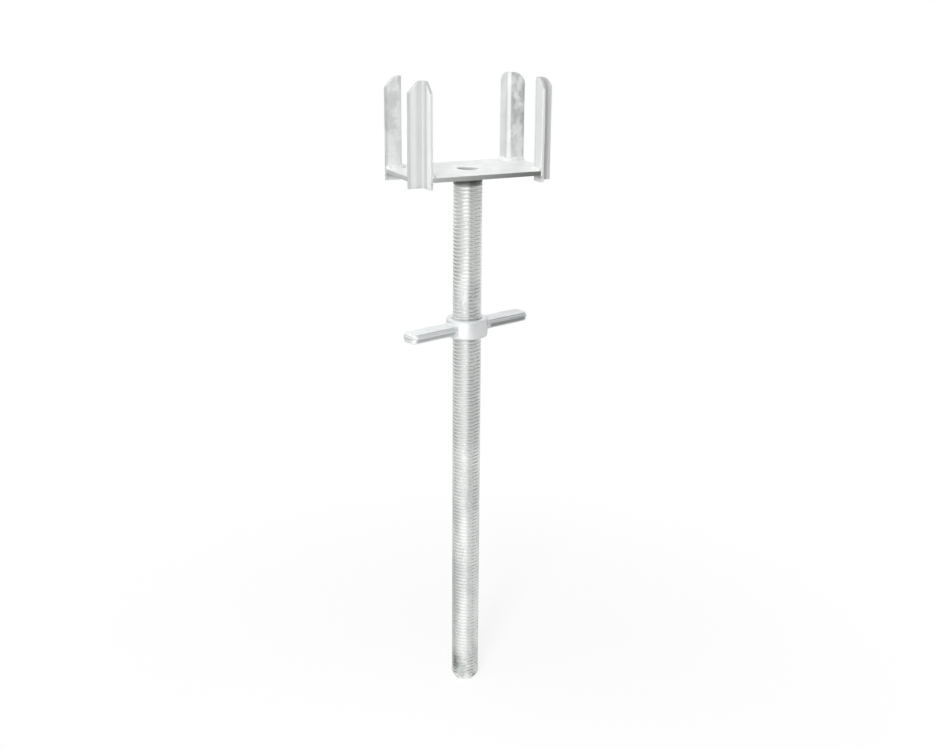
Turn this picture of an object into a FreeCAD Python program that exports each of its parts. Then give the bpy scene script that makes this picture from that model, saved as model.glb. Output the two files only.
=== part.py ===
import FreeCAD, Part
import math
import os

# Four-way fork head jack: a cross-shaped plate with four folded angles on a screw spindle with a cast wing nut.
# Millimetres, +Z up the spindle, +X along the wide gap. The origin is the centre of the spindle's lower end.

# Gaps for the beams, measured between the outer faces of the folded angles
WIDE_GAP = 150.0
NARROW_GAP = 70.0

# Head plate, notched at its corners for the angles
PLATE_THICKNESS = 6.0
PLATE_CORNER_RADIUS = 1.6
PLATE_EDGE_CHAMFER = 0.7
DRAIN_HOLE_DIAMETER = 28.0

# Folded angles that stand in the notches
ANGLE_LEG = 24.0
ANGLE_THICKNESS = 4.0
ANGLE_INNER_BEND = 2.0
ANGLE_TOE_ROUND = 0.7
ANGLE_ABOVE_PLATE = 115.0
ANGLE_BELOW_PLATE = 9.0

# Welds: the groove cut into the plate for the bead, and how far the bead climbs up the angle
WELD_GROOVE = 3.5
WELD_RISE = 4.0
SPINDLE_WELD_LEG = 4.0

# Spindle tube, drawn at the outer diameter of its thread
SPINDLE_DIAMETER = 38.0
SPINDLE_WALL = 4.5
SPINDLE_LENGTH = 730.0
SPINDLE_TAPER_HEIGHT = 6.0
SPINDLE_TAPER_DEPTH = 3.2

# Wing nut: a round collar with two opposite drafted handles
NUT_RUNNING_CLEARANCE = 0.05
NUT_COLLAR_DIAMETER = 56.0
NUT_HEIGHT = 25.0
NUT_COLLAR_DRAFT = 0.6
NUT_RIM_CHAMFER = 2.5
NUT_BORE_CHAMFER = 1.5
NUT_FOOT_HEIGHT = 513.0
NUT_TURN_DEGREES = 14.4
HANDLE_SPAN = 200.0
HANDLE_WIDTH = 27.0
HANDLE_THICKNESS = 12.0
HANDLE_DRAFT_INSET = 2.2
HANDLE_END_RADIUS = 9.0
HANDLE_EDGE_ROUND = 1.2
HANDLE_ROOT_RADIUS = 14.0
HANDLE_ROOT_DEPTH = 2.0

# Each upright's side of the spindle, the length cropped from its top corners and the radius of the crop's shoulders
UPRIGHTS = {
    "front_left": {"side": (-1, -1), "crop": 14.0, "shoulder": 5.0},
    "front_right": {"side": (1, -1), "crop": 10.0, "shoulder": 14.0},
    "rear_left": {"side": (-1, 1), "crop": 13.0, "shoulder": 5.0},
    "rear_right": {"side": (1, 1), "crop": 10.0, "shoulder": 14.0},
}

PLATE_UNDERSIDE = SPINDLE_LENGTH
PLATE_TOP = PLATE_UNDERSIDE + PLATE_THICKNESS
ANGLE_OUTER_BEND = ANGLE_INNER_BEND + ANGLE_THICKNESS
SPINDLE_RADIUS = SPINDLE_DIAMETER / 2
SPINDLE_BORE_RADIUS = SPINDLE_RADIUS - SPINDLE_WALL
NUT_BORE_RADIUS = SPINDLE_RADIUS + NUT_RUNNING_CLEARANCE

AXIS_X = FreeCAD.Vector(1, 0, 0)
AXIS_Y = FreeCAD.Vector(0, 1, 0)
AXIS_Z = FreeCAD.Vector(0, 0, 1)
CENTRE = FreeCAD.Vector(0, 0, 0)


def vector(x, y, z=0.0):
    """A point in the part's frame."""
    return FreeCAD.Vector(x, y, z)


def rounded_wire(points, radii):
    """Closed outline through the points, with each corner rounded by an arc of its own radius (0 leaves it sharp)."""
    count = len(points)
    starts, ends, arcs = [], [], []
    for i in range(count):
        corner = points[i]
        back = (points[i - 1] - corner).normalize()
        ahead = (points[(i + 1) % count] - corner).normalize()
        radius = radii[i]
        if radius == 0:
            starts.append(corner)
            ends.append(corner)
            arcs.append(None)
            continue
        half_angle = back.getAngle(ahead) / 2
        setback = radius / math.tan(half_angle)
        middle = (back + ahead).normalize()
        nearest = radius / math.sin(half_angle) - radius
        start = corner + back * setback
        end = corner + ahead * setback
        starts.append(start)
        ends.append(end)
        arcs.append(Part.Arc(start, corner + middle * nearest, end).toShape())
    edges = []
    for i in range(count):
        if arcs[i] is not None:
            edges.append(arcs[i])
        edges.append(Part.LineSegment(ends[i], starts[(i + 1) % count]).toShape())
    return Part.Wire(edges)


def revolved(points):
    """Solid of revolution about the spindle axis from a closed outline of (radius, height) points."""
    corners = [vector(radius, 0, height) for radius, height in points]
    return Part.Face(Part.makePolygon(corners + corners[:1])).revolve(CENTRE, AXIS_Z, 360)


def placed_on_side(shape, side):
    """Mirrors a shape made for the +X +Y corner of the head to the corner that side names."""
    if side[0] < 0:
        shape = shape.mirror(CENTRE, AXIS_X)
    if side[1] < 0:
        shape = shape.mirror(CENTRE, AXIS_Y)
    return shape


def angle_section():
    """Plan outline of a folded angle at the origin, with its bend at the corner and its legs along +X and +Y."""
    leg, wall, bend = ANGLE_LEG, ANGLE_THICKNESS, ANGLE_OUTER_BEND
    points = [vector(0, 0), vector(leg, 0), vector(leg, wall), vector(wall, wall), vector(wall, leg), vector(0, leg)]
    toe = ANGLE_TOE_ROUND
    return rounded_wire(points, [bend, toe, toe, ANGLE_INNER_BEND, toe, toe])


def crop_outline(height, crop, shoulder):
    """Side view of one leg in the XZ plane, with the free top corner cropped and the crop's shoulders rounded."""
    leg = ANGLE_LEG
    points = [vector(0, 0, 0), vector(leg, 0, 0), vector(leg, 0, height - crop), vector(leg - crop, 0, height),
              vector(0, 0, height)]
    return rounded_wire(points, [0, 0, shoulder, shoulder, 0])


def upright(side, crop, shoulder):
    """One folded angle, standing in its notch with the bend towards the spindle."""
    height = ANGLE_BELOW_PLATE + PLATE_THICKNESS + ANGLE_ABOVE_PLATE
    bar = Part.Face(angle_section()).extrude(AXIS_Z * height)
    leg_view = Part.Face(crop_outline(height, crop, shoulder)).extrude(AXIS_Y * ANGLE_LEG)
    diagonal = vector(1, -1).normalize()
    bar = bar.common(leg_view).common(leg_view.mirror(CENTRE, diagonal))
    bar.translate(vector(WIDE_GAP / 2, NARROW_GAP / 2, PLATE_UNDERSIDE - ANGLE_BELOW_PLATE))
    return placed_on_side(bar, side)


def upright_weld(side):
    """The bead that follows an angle's outer face over both legs and the bend, in a groove of the plate."""
    section = [(0, -WELD_GROOVE), (WELD_GROOVE, 0), (0, WELD_RISE)]
    bend_x = WIDE_GAP / 2 + ANGLE_OUTER_BEND
    bend_y = NARROW_GAP / 2 + ANGLE_OUTER_BEND
    straight = ANGLE_LEG - ANGLE_OUTER_BEND
    along_x = [vector(bend_x, NARROW_GAP / 2 - out, PLATE_TOP + up) for out, up in section]
    along_y = [vector(WIDE_GAP / 2 - out, bend_y, PLATE_TOP + up) for out, up in section]
    x_face = Part.Face(Part.makePolygon(along_x + along_x[:1]))
    y_face = Part.Face(Part.makePolygon(along_y + along_y[:1]))
    round_the_bend = x_face.revolve(vector(bend_x, bend_y), AXIS_Z, -90)
    bead = x_face.extrude(AXIS_X * straight).fuse([round_the_bend, y_face.extrude(AXIS_Y * straight)])
    return placed_on_side(bead.removeSplitter().Solids[0], side)


def head_plate(beads):
    """The cross-shaped plate: a rectangle notched for the angles, grooved for their welds, with a drain hole."""
    inner_x, inner_y = WIDE_GAP / 2, NARROW_GAP / 2
    outer_x, outer_y = inner_x + ANGLE_LEG, inner_y + ANGLE_LEG
    quarter = [(outer_x, inner_y), (inner_x, inner_y), (inner_x, outer_y)]
    corner, notch = PLATE_CORNER_RADIUS, ANGLE_OUTER_BEND
    points, radii = [], []
    for sign_x, sign_y, order in ((1, 1, 1), (-1, 1, -1), (-1, -1, 1), (1, -1, -1)):
        for x, y in quarter[::order]:
            points.append(vector(sign_x * x, sign_y * y, PLATE_UNDERSIDE))
        radii += [corner, notch, corner]
    plate = Part.Face(rounded_wire(points, radii)).extrude(AXIS_Z * PLATE_THICKNESS)
    rims = [edge for edge in plate.Edges if edge.BoundBox.ZLength < PLATE_EDGE_CHAMFER]
    plate = plate.makeChamfer(PLATE_EDGE_CHAMFER, rims)
    hole = Part.makeCylinder(DRAIN_HOLE_DIAMETER / 2, PLATE_THICKNESS, vector(0, 0, PLATE_UNDERSIDE))
    return plate.cut([hole] + beads)


def spindle_tube():
    """The tube that carries the thread, with a tapered lower end that leads the nut on."""
    outer, bore = SPINDLE_RADIUS, SPINDLE_BORE_RADIUS
    return revolved([(bore, 0), (outer - SPINDLE_TAPER_DEPTH, 0), (outer, SPINDLE_TAPER_HEIGHT), (outer, SPINDLE_LENGTH),
                     (bore, SPINDLE_LENGTH)])


def spindle_weld():
    """The fillet weld round the spindle under the plate."""
    outer, leg = SPINDLE_RADIUS, SPINDLE_WELD_LEG
    return revolved([(outer, SPINDLE_LENGTH - leg), (outer + leg, SPINDLE_LENGTH), (outer, SPINDLE_LENGTH)])


def handle_outline(inset, height):
    """Plan outline of both handles, drawn in by inset, flared by arcs into a circle just inside the collar."""
    half_span = HANDLE_SPAN / 2 - inset
    half_width = HANDLE_WIDTH / 2 - inset
    end_radius = HANDLE_END_RADIUS - inset
    root_radius = HANDLE_ROOT_RADIUS + inset
    hub = NUT_COLLAR_DIAMETER / 2 - HANDLE_ROOT_DEPTH - inset
    reach = math.sqrt((hub + root_radius) ** 2 - (half_width + root_radius) ** 2)
    flare_centre = vector(reach, half_width + root_radius, height)
    to_hub = (vector(0, 0, height) - flare_centre).normalize()
    flare_middle = (to_hub + vector(0, -1)).normalize()
    corner = math.sqrt(0.5) * end_radius
    end_x, end_y = half_span - end_radius, half_width - end_radius
    quarter = [
        vector(half_span, end_y, height),
        vector(end_x + corner, end_y + corner, height),
        vector(end_x, half_width, height),
        vector(reach, half_width, height),
        flare_centre + flare_middle * root_radius,
        flare_centre + to_hub * root_radius,
    ]
    across = [vector(-p.x, p.y, height) for p in reversed(quarter)]
    side = quarter + [vector(0, hub, height)] + across
    other = [vector(-p.x, -p.y, height) for p in side]
    edges = []
    for run in (side, other):
        edges.append(Part.Arc(run[0], run[1], run[2]).toShape())
        edges.append(Part.LineSegment(run[2], run[3]).toShape())
        edges.append(Part.Arc(run[3], run[4], run[5]).toShape())
        edges.append(Part.Arc(run[5], run[6], run[7]).toShape())
        edges.append(Part.Arc(run[7], run[8], run[9]).toShape())
        edges.append(Part.LineSegment(run[9], run[10]).toShape())
        edges.append(Part.Arc(run[10], run[11], run[12]).toShape())
        following = other if run is side else side
        edges.append(Part.LineSegment(run[12], following[0]).toShape())
    return Part.Wire(edges)


def handle_half(direction):
    """Half of the handles on one side of the parting plane, drafted towards its flat face, with rounded edges."""
    half_thickness = direction * HANDLE_THICKNESS / 2
    wires = [handle_outline(0, 0), handle_outline(HANDLE_DRAFT_INSET, half_thickness)]
    half = Part.makeLoft(wires, True, True)
    tolerance = HANDLE_EDGE_ROUND / 10
    rims = []
    for edge in half.Edges:
        box = edge.BoundBox
        if abs(box.ZMin - half_thickness) < tolerance and abs(box.ZMax - half_thickness) < tolerance:
            rims.append(edge)
    return half.makeFillet(HANDLE_EDGE_ROUND, rims)


def nut_collar():
    """The round collar, widest at the parting plane, with drafted sides and chamfered rims."""
    radius, half = NUT_COLLAR_DIAMETER / 2, NUT_HEIGHT / 2
    shoulder = half - NUT_RIM_CHAMFER
    drafted = radius - NUT_COLLAR_DRAFT
    rim = drafted - NUT_RIM_CHAMFER
    return revolved([(0, -half), (rim, -half), (drafted, -shoulder), (radius, 0), (drafted, shoulder), (rim, half),
                     (0, half)])


def wing_nut():
    """The one-piece cast nut: collar and handles, bored for the spindle with a chamfer at each mouth."""
    half = NUT_HEIGHT / 2
    mouth = NUT_BORE_RADIUS + NUT_BORE_CHAMFER
    bore = revolved([(0, -half), (mouth, -half), (NUT_BORE_RADIUS, NUT_BORE_CHAMFER - half),
                     (NUT_BORE_RADIUS, half - NUT_BORE_CHAMFER), (mouth, half), (0, half)])
    body = nut_collar().fuse([handle_half(1), handle_half(-1)]).removeSplitter()
    nut = body.cut(bore)
    nut.rotate(CENTRE, AXIS_Z, NUT_TURN_DEGREES)
    nut.translate(vector(0, 0, NUT_FOOT_HEIGHT + half))
    return nut


def build():
    """All pieces by node name."""
    pieces = {}
    beads = []
    for place, corner in UPRIGHTS.items():
        bead = upright_weld(corner["side"])
        beads.append(bead)
        pieces["weld_" + place] = bead
        pieces["upright_" + place] = upright(corner["side"], corner["crop"], corner["shoulder"])
    pieces["head_plate"] = head_plate(beads)
    pieces["spindle_tube"] = spindle_tube()
    pieces["spindle_weld"] = spindle_weld()
    pieces["wing_nut"] = wing_nut()
    return pieces


os.makedirs("parts", exist_ok=True)
for name, shape in build().items():
    solids = shape.Solids
    if len(solids) != 1 or not shape.isValid():
        raise ValueError(name + " is not one valid solid")
    solids[0].exportStep("parts/" + name + ".step")
    print(name, round(solids[0].Volume / 1000, 2), "cm3", len(solids[0].Faces), "faces")
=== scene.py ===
"""Looks of a four-way fork head jack: plate, uprights, weld beads, threaded spindle and cast wing nut.

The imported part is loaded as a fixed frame. Each piece is a numpy surface that stands for its plain solid,
in metres and in the same frame, and carries a galvanised finish.
"""

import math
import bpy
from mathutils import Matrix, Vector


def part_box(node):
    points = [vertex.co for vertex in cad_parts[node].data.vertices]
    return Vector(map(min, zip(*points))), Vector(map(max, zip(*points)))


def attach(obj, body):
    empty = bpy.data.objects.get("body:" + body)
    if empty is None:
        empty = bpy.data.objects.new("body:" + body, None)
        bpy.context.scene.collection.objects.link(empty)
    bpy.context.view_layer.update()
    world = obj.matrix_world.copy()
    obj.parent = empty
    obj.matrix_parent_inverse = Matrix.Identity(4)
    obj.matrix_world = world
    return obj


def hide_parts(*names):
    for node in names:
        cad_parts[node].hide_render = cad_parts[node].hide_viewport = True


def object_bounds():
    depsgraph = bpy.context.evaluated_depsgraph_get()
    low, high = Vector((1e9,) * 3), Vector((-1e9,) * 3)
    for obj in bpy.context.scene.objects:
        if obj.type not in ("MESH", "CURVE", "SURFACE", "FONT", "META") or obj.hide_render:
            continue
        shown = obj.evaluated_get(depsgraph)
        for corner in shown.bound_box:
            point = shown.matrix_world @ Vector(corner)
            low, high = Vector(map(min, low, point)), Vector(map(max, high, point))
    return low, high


bl_info = {
    "name": "Fork Head Jack",
    "version": (1, 0, 0),
    "blender": (4, 5, 0),
    "location": "3D View > Sidebar > Fork Jack",
    "description": "Builds the visible pieces of a fork head jack round its packed solids",
    "category": "Object",
}

import bmesh
import bpy
import numpy as np
from bpy.props import FloatProperty, FloatVectorProperty, PointerProperty
from mathutils import Matrix, Vector

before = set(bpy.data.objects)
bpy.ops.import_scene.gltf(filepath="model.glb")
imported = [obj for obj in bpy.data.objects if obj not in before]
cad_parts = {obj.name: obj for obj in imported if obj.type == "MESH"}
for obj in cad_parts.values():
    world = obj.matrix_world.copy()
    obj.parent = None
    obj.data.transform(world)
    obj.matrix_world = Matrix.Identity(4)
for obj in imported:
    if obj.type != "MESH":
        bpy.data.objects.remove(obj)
CAD_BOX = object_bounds()

MM = 0.001
PICTURE_WIDTH = 937
SEAL_DISTANCE = 0.002 * MM
SHARP_ANGLE = math.radians(35)
WHITE = (1, 1, 1, 1)

# Names of the marks that meshes carry for their materials
# The mark for darker zinc: wear on sheared edges, and painted shade and shadow on uprights, plate and nut
WEAR_AND_SHADE = "wear_and_shade"
WIDE_LEG = "wide_leg"
TONE = "tone"

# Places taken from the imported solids
PLATE_LOW, PLATE_HIGH = (np.array(corner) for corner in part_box("head_plate"))
CORNER_LOW, CORNER_HIGH = (np.array(corner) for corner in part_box("upright_rear_right"))
TUBE_LOW, TUBE_HIGH = (np.array(corner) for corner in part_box("spindle_tube"))
NUT_LOW, NUT_HIGH = (np.array(corner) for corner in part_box("wing_nut"))

# Each upright's side of the spindle, the length cropped from its top corners and the radius of the crop's
# shoulders; how far all of its zinc and its clouds have dulled; the strength of the painted shade in its
# hollow, how far from the toe that starts, and how dark the toe is
UPRIGHTS = {
    "front_left": {"side": (-1, -1), "crop": 14.0 * MM, "shoulder": 5.0 * MM,
                   "fade": 0.15, "dulling": 0.25, "line": 1.0, "hollow": 8.0 * MM, "toe": 0.4},
    "front_right": {"side": (1, -1), "crop": 10.0 * MM, "shoulder": 14.0 * MM,
                    "fade": 0.0, "dulling": 0.0, "line": 0.75, "hollow": 3.5 * MM, "toe": 0.0},
    "rear_left": {"side": (-1, 1), "crop": 13.0 * MM, "shoulder": 5.0 * MM,
                  "fade": 0.08, "dulling": 0.95, "line": 0.0, "hollow": 8.0 * MM, "toe": 0.4},
    "rear_right": {"side": (1, 1), "crop": 10.0 * MM, "shoulder": 14.0 * MM,
                   "fade": 0.1, "dulling": 1.5, "line": 0.0, "hollow": 8.0 * MM, "toe": 0.3},
}

# How dark the marked places of the uprights and of the nut are, from 0 to 1. On the uprights, rim is wear
# on the sheared ends; narrow_leg and bend darken the narrow leg and a line beside the bend; hollow and
# ridge are painted shade in the hollow, the near leg's shadow and a shading line; below_plate is painted
# shadow of the plate on the outer faces below it.
UPRIGHT_WEAR_AND_SHADE = {"hollow": 0.27, "ridge": 0.14, "narrow_leg": 0.19, "bend": 0.1, "rim": 0.4,
                "below_plate": 0.68}
# On the nut, side, far_side, edge and far_edge are painted shade on the handles' lower sides and upper
# edges, more on the +X handle; end and wall darken the handles' ends and the collar's wall a little
NUT_WEAR_AND_SHADE = {"side": 0.52, "far_side": 0.3, "edge": 0.4, "far_edge": 0.2, "end": 0.3, "wall": 0.05}

# Lengths of the gentle waves in each kind of face
THREAD_WAVE = 17 * MM
UPRIGHT_WAVE = 55 * MM
PLATE_WAVE = 70 * MM
NUT_WAVES = (31 * MM, 37 * MM, 43 * MM)

# Depth of the zinc's skin, and the centre and reach along each axis of the stains near the spindle's foot
SKIN_DEPTH = 0.3 * MM
FOOT_STAINS = (
    ((-18 * MM, -5 * MM, 24 * MM), (15 * MM, 15 * MM, 32 * MM)),
    ((6 * MM, -18 * MM, 5 * MM), (7 * MM, 7 * MM, 7 * MM)),
    ((-16 * MM, -7 * MM, 1 * MM), (6 * MM, 6 * MM, 5 * MM)),
)

# The studio's cloths show only in reflections. Bearings are degrees right of the camera, seen from there,
# and places are (radius, height) in metres. The surround's rows of tones lie at its walls' top, half-way
# down, at their foot, and on the floor beside the spindle.
SURROUND_BEARINGS = (-180, -150, -105, -60, -30, -16, 0, 10, 20, 32, 50, 65, 85, 136, 180)
SURROUND_TONES = (
    (0.80, 0.75, 0.34, 0.56, 1.15, 1.45, 1.25, 0.48, 0.10, 0.02, 0.02, 0.10, 0.46, 0.70, 0.85),
    (0.78, 0.72, 0.42, 0.70, 1.20, 1.40, 1.25, 0.84, 0.56, 0.44, 0.44, 0.52, 0.64, 0.76, 0.82),
    (0.75, 0.70, 0.52, 0.86, 1.20, 1.30, 1.20, 0.98, 0.78, 0.66, 0.62, 0.66, 0.74, 0.80, 0.80),
    (0.70, 0.64, 0.50, 0.66, 0.84, 0.88, 0.88, 0.84, 0.78, 0.72, 0.68, 0.68, 0.72, 0.80, 0.80),
)
SURROUND_PLACES = ((1.0, 0.6), (1.0, 0.32), (1.0, 0.001), (0.05, 0.001))


def length(name, description, millimetres):
    """A size that a user would change, given in millimetres."""
    return FloatProperty(name=name, description=description, default=millimetres * MM, precision=5,
                         unit="LENGTH")


def share(name, description, default):
    """A share between 0 and 1 that a user would change."""
    return FloatProperty(name=name, description=description, default=default, min=0.0, max=1.0,
                         subtype="FACTOR")


def slant(name, description, degrees):
    """An angle that a user would change, given in degrees."""
    return FloatProperty(name=name, description=description, default=math.radians(degrees), subtype="ANGLE")


def lamp_power(name, description, watts):
    """The power of a lamp that a user would change."""
    return FloatProperty(name=name, description=description, default=watts, unit="POWER")


def colour(name, description, default):
    """A linear colour that a user would change."""
    return FloatVectorProperty(name=name, description=description, default=default, size=3, min=0.0,
                               max=1.0, subtype="COLOR")


class ThreadSizes(bpy.types.PropertyGroup):
    """Sizes of the spindle's rolled thread and of its ends."""

    pitch: length("Pitch", "Rise of the thread in one turn", 5.0)
    depth: length("Depth", "Height of the crest above the root", 0.95)
    crest: share("Crest", "Share of the pitch that is full crest", 0.46)
    flank: share("Flank", "Share of the pitch taken by each flank", 0.18)
    wall: length("Wall", "Wall of the tube under the thread's crest", 4.5)
    taper_height: length("Taper height", "Height of the lead-in taper at the spindle's lower end", 6.0)
    taper_depth: length("Taper depth", "How much the lead-in taper takes off the radius", 3.2)
    unevenness: length("Unevenness", "How much the zinc's thickness changes from place to place", 0.06)
    filling: share("Filling", "Share of the thread's depth that zinc fills at the spindle's foot", 0.35)
    run: share("Run", "Share of the thread's depth that a run of zinc fills above the nut", 0.75)
    run_height: length("Run height", "Height of the middle of that run", 565.0)
    run_length: length("Run length", "Half the length of that run", 35.0)


class UprightSizes(bpy.types.PropertyGroup):
    """Sizes of the folded angles."""

    wall: length("Wall", "Thickness of the folded strip", 4.0)
    inner_bend: length("Inner bend", "Radius inside the fold", 2.0)
    edge_round: length("Edge round", "Rounding of the strip's cut edges", 0.7)
    unevenness: length("Unevenness", "Gentle waves in the strip's faces", 0.12)


class PlateSizes(bpy.types.PropertyGroup):
    """Sizes of the head plate."""

    hole: length("Hole", "Diameter of the drain hole", 28.0)
    corner: length("Corner", "Radius of the plate's outer corners", 1.6)
    notch: length("Notch", "Radius of the notches that the angles stand in", 6.0)
    edge_round: length("Edge round", "Rounding of the plate's rims", 0.8)
    unevenness: length("Unevenness", "Gentle waves in the plate's faces", 0.15)


class WeldSizes(bpy.types.PropertyGroup):
    """Sizes of the weld beads."""

    leg: length("Leg", "Reach of a bead along each of the two faces that it joins", 4.4)
    bulge: share("Bulge", "How much the bead bulges between its toes, as a share of its leg", 0.1)
    ripple_step: length("Ripple step", "Distance from one ripple of the bead to the next", 2.3)
    ripple_height: length("Ripple height", "Height of a ripple", 0.32)


class NutSizes(bpy.types.PropertyGroup):
    """Sizes of the cast wing nut."""

    collar: length("Collar", "Diameter of the collar at the parting plane", 56.0)
    collar_draft: length("Collar draft", "How much each half of the collar narrows to its rim", 0.6)
    rim: length("Rim", "Rounding of the collar's rims", 2.6)
    span: length("Span", "Length over both handles", 200.0)
    width: length("Width", "Width of a handle", 27.0)
    thickness: length("Thickness", "Thickness of a handle", 12.0)
    parting_rise: length("Parting rise", "Height of the parting line above the nut's middle", 1.2)
    upper_draft: length("Upper draft", "Narrowing of a handle up to its upper flat", 2.5)
    lower_draft: length("Lower draft", "Narrowing of a handle down to its lower flat", 1.4)
    end_round: length("End round", "Radius of the corners at a handle's end", 9.0)
    root_flare: length("Root flare", "Radius where a handle's side runs into the collar", 14.0)
    root_fillet: length("Root fillet", "Fillet between a handle's flat and the collar's wall", 2.2)
    edge_round: length("Edge round", "Rounding of the handles' edges", 1.8)
    flash: length("Flash", "Height of the ridge left along the parting line", 0.35)
    bore_gap: length("Bore gap", "Gap between the bore and the thread's crest", 0.3)
    mouth: length("Mouth", "Chamfer at each end of the bore", 1.0)
    unevenness: length("Unevenness", "Unevenness of the cast faces", 0.14)
    turn: slant("Turn", "Angle of the handles from the wide gap", 14.4)


class ZincFinish(bpy.types.PropertyGroup):
    """Colours and grain of the galvanised finish."""

    pale: colour("Pale zinc", "Zinc where it is freshest", (0.91, 0.92, 0.915))
    plate: colour("Plate zinc", "Zinc on the duller patches of the plate", (0.87, 0.88, 0.875))
    shade: colour("Dull zinc", "Zinc where it has dulled", (0.66, 0.67, 0.67))
    root: colour("Thread root", "Zinc down in the thread, slightly green", (0.86, 0.88, 0.85))
    # Painted shadow of the plate, on the spindle just below it and on the weld bead there
    painted_plate_shade: colour("Painted plate shadow", "Dull ring on the spindle below the weld", (0.13, 0.14, 0.125))
    # Dark zinc for wear on sheared edges, and for painted shade and shadow on the uprights, plate and nut
    cut: colour("Dark zinc for wear and painted shade", "Thinner, darker zinc on sheared edges and rubbed places", (0.17, 0.18, 0.17))
    casting: colour("Casting", "Zinc on the cast nut, slightly blue", (0.88, 0.905, 0.92))
    stain: colour("Stain", "Grey-green stains near the spindle's foot", (0.27, 0.30, 0.26))
    crystal: length("Crystal", "Size of the zinc's crystals", 5.0)
    cloud: length("Cloud", "Size of the dull clouds on the faces", 17.0)
    grain: length("Grain", "Size of the fine grain in the zinc's skin", 1.1)


class StudioStage(bpy.types.PropertyGroup):
    """Camera, lamps, floor and screens."""

    focal_pixels: FloatProperty(name="Focal length", default=1282.5, subtype="PIXEL",
                                description="Focal length in pixels of the picture")
    distance: length("Distance", "Camera's distance from the spindle's axis", 1649.0)
    height: length("Height", "Camera's height above the spindle's lower end", 986.4)
    side_angle: slant("Side angle", "Camera's turn round the spindle from the front", 25.37)
    aim: slant("Aim", "Camera's turn away from the axis", 0.088)
    tilt: slant("Tilt", "Camera's tilt downwards", 17.805)
    roll: slant("Roll", "Camera's roll", 0.372)
    front_lamp: lamp_power("Front lamp", "Softbox beside the camera", 34.0)
    top_lamp: lamp_power("Top lamp", "Softbox above the head", 21.5)
    ambient: FloatProperty(name="Ambient", description="Even light of the room", default=0.3, min=0.0)
    floor: colour("Floor", "Plain pale floor", (0.62, 0.62, 0.62))
    upper_screen: share("Upper screen", "Brightness of the cloth that the uprights reflect", 0.44)
    side_screen: share("Side screen", "Brightness of the cloth that the thread's flanks reflect", 0.12)
    ceiling_screen: share("Ceiling screen", "Brightness of the cloth overhead", 0.4)
    back_screen: share("Back screen", "Brightness of the cloth that the far handle reflects", 0.05)


# Mesh helpers

def grid_quads(rows, columns, wrap_rows=False, wrap_columns=False):
    """Corner numbers of the quads between neighbouring points of a grid that is stored row by row."""
    row = np.arange(rows if wrap_rows else rows - 1)[:, None]
    column = np.arange(columns if wrap_columns else columns - 1)[None, :]
    next_row = (row + 1) % rows
    next_column = (column + 1) % columns
    corners = [row * columns + column, row * columns + next_column,
               next_row * columns + next_column, next_row * columns + column]
    return np.stack([corner.ravel() for corner in corners], axis=1)


def joined(parts):
    """Several (points, quads) pairs as one pair, with the quads renumbered."""
    points, quads, start = [], [], 0
    for part_points, part_quads in parts:
        points.append(part_points)
        quads.append(part_quads + start)
        start += len(part_points)
    return np.concatenate(points), np.concatenate(quads)


def smooth_step(value):
    """Eases a value from 0 to 1 with a flat start and end."""
    value = np.clip(value, 0.0, 1.0)
    return value * value * (3 - 2 * value)


def bell(place, centre, reach):
    """A mark that is 1 at its centre and fades like a bell curve over a reach."""
    return np.exp(-((place - centre) / reach) ** 2)


def uneven(points, wavelength):
    """Smooth field from about -1 to 1: the mean of seven sine waves in directions spread over a sphere."""
    wave = np.arange(7)
    rise = (wave + 0.5) / 3.5 - 1
    flat = np.sqrt(1 - rise ** 2)
    turn = wave * math.pi * (3 - math.sqrt(5))
    directions = np.stack([flat * np.cos(turn), flat * np.sin(turn), rise])
    phase = points @ directions * (2 * math.pi / wavelength) + turn * 1.7
    return np.sin(phase).mean(axis=-1) * 2


def mark_points(mesh, name, values):
    """Stores a value for every point of a mesh, which a material reads by the mark's name."""
    values = np.ravel(values).astype(np.float32)
    mesh.attributes.new(name, "FLOAT", "POINT").data.foreach_set("value", values)


def make_piece(name, parts, material, body, nodes, marks=None):
    """Seals (points, quads) parts into one closed mesh with outward normals and sets it on its body.

    Each of the marks, a value for every point, becomes an attribute that the material reads.
    """
    points, quads = joined(parts)
    mesh = bpy.data.meshes.new(name)
    mesh.from_pydata(points.tolist(), [], quads.tolist())
    for mark, values in (marks or {}).items():
        mark_points(mesh, mark, values)
    shape = bmesh.new()
    shape.from_mesh(mesh)
    bmesh.ops.remove_doubles(shape, verts=shape.verts, dist=SEAL_DISTANCE)
    bmesh.ops.recalc_face_normals(shape, faces=shape.faces)
    if not all(edge.is_manifold for edge in shape.edges):
        raise RuntimeError(name + " is not a closed mesh")
    shape.to_mesh(mesh)
    shape.free()
    mesh.polygons.foreach_set("use_smooth", np.ones(len(mesh.polygons), bool))
    mesh.set_sharp_from_angle(angle=SHARP_ANGLE)
    mesh.materials.append(material)
    piece = bpy.data.objects.new(name, mesh)
    bpy.context.scene.collection.objects.link(piece)
    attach(piece, body)
    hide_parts(*nodes)


def closed_outline(runs):
    """Joins (points, normals) runs from the X axis to the Y axis, and mirrors that quarter into a loop.

    The doubled point between two runs is left out.
    """
    runs = [np.hstack([points, np.broadcast_to(normals, points.shape)]) for points, normals in runs]
    quarter = np.concatenate([run[:-1] for run in runs] + [runs[-1][-1:]])
    half = np.concatenate([quarter[:-1], quarter[:0:-1] * [-1, 1, -1, 1]])
    loop = np.concatenate([half, -half])
    return loop[:, :2], loop[:, 2:]


def arc(centre, radius, start, end, count):
    """Points of a plan arc from one angle to another, and their unit vectors away from the centre."""
    angle = np.linspace(start, end, count)
    away = np.stack([np.cos(angle), np.sin(angle)], axis=1)
    return np.array(centre) + radius * away, away


def straight(start, end, count):
    """Evenly spaced points from start up to end, both included."""
    return np.linspace(np.array(start), np.array(end), count)


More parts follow.
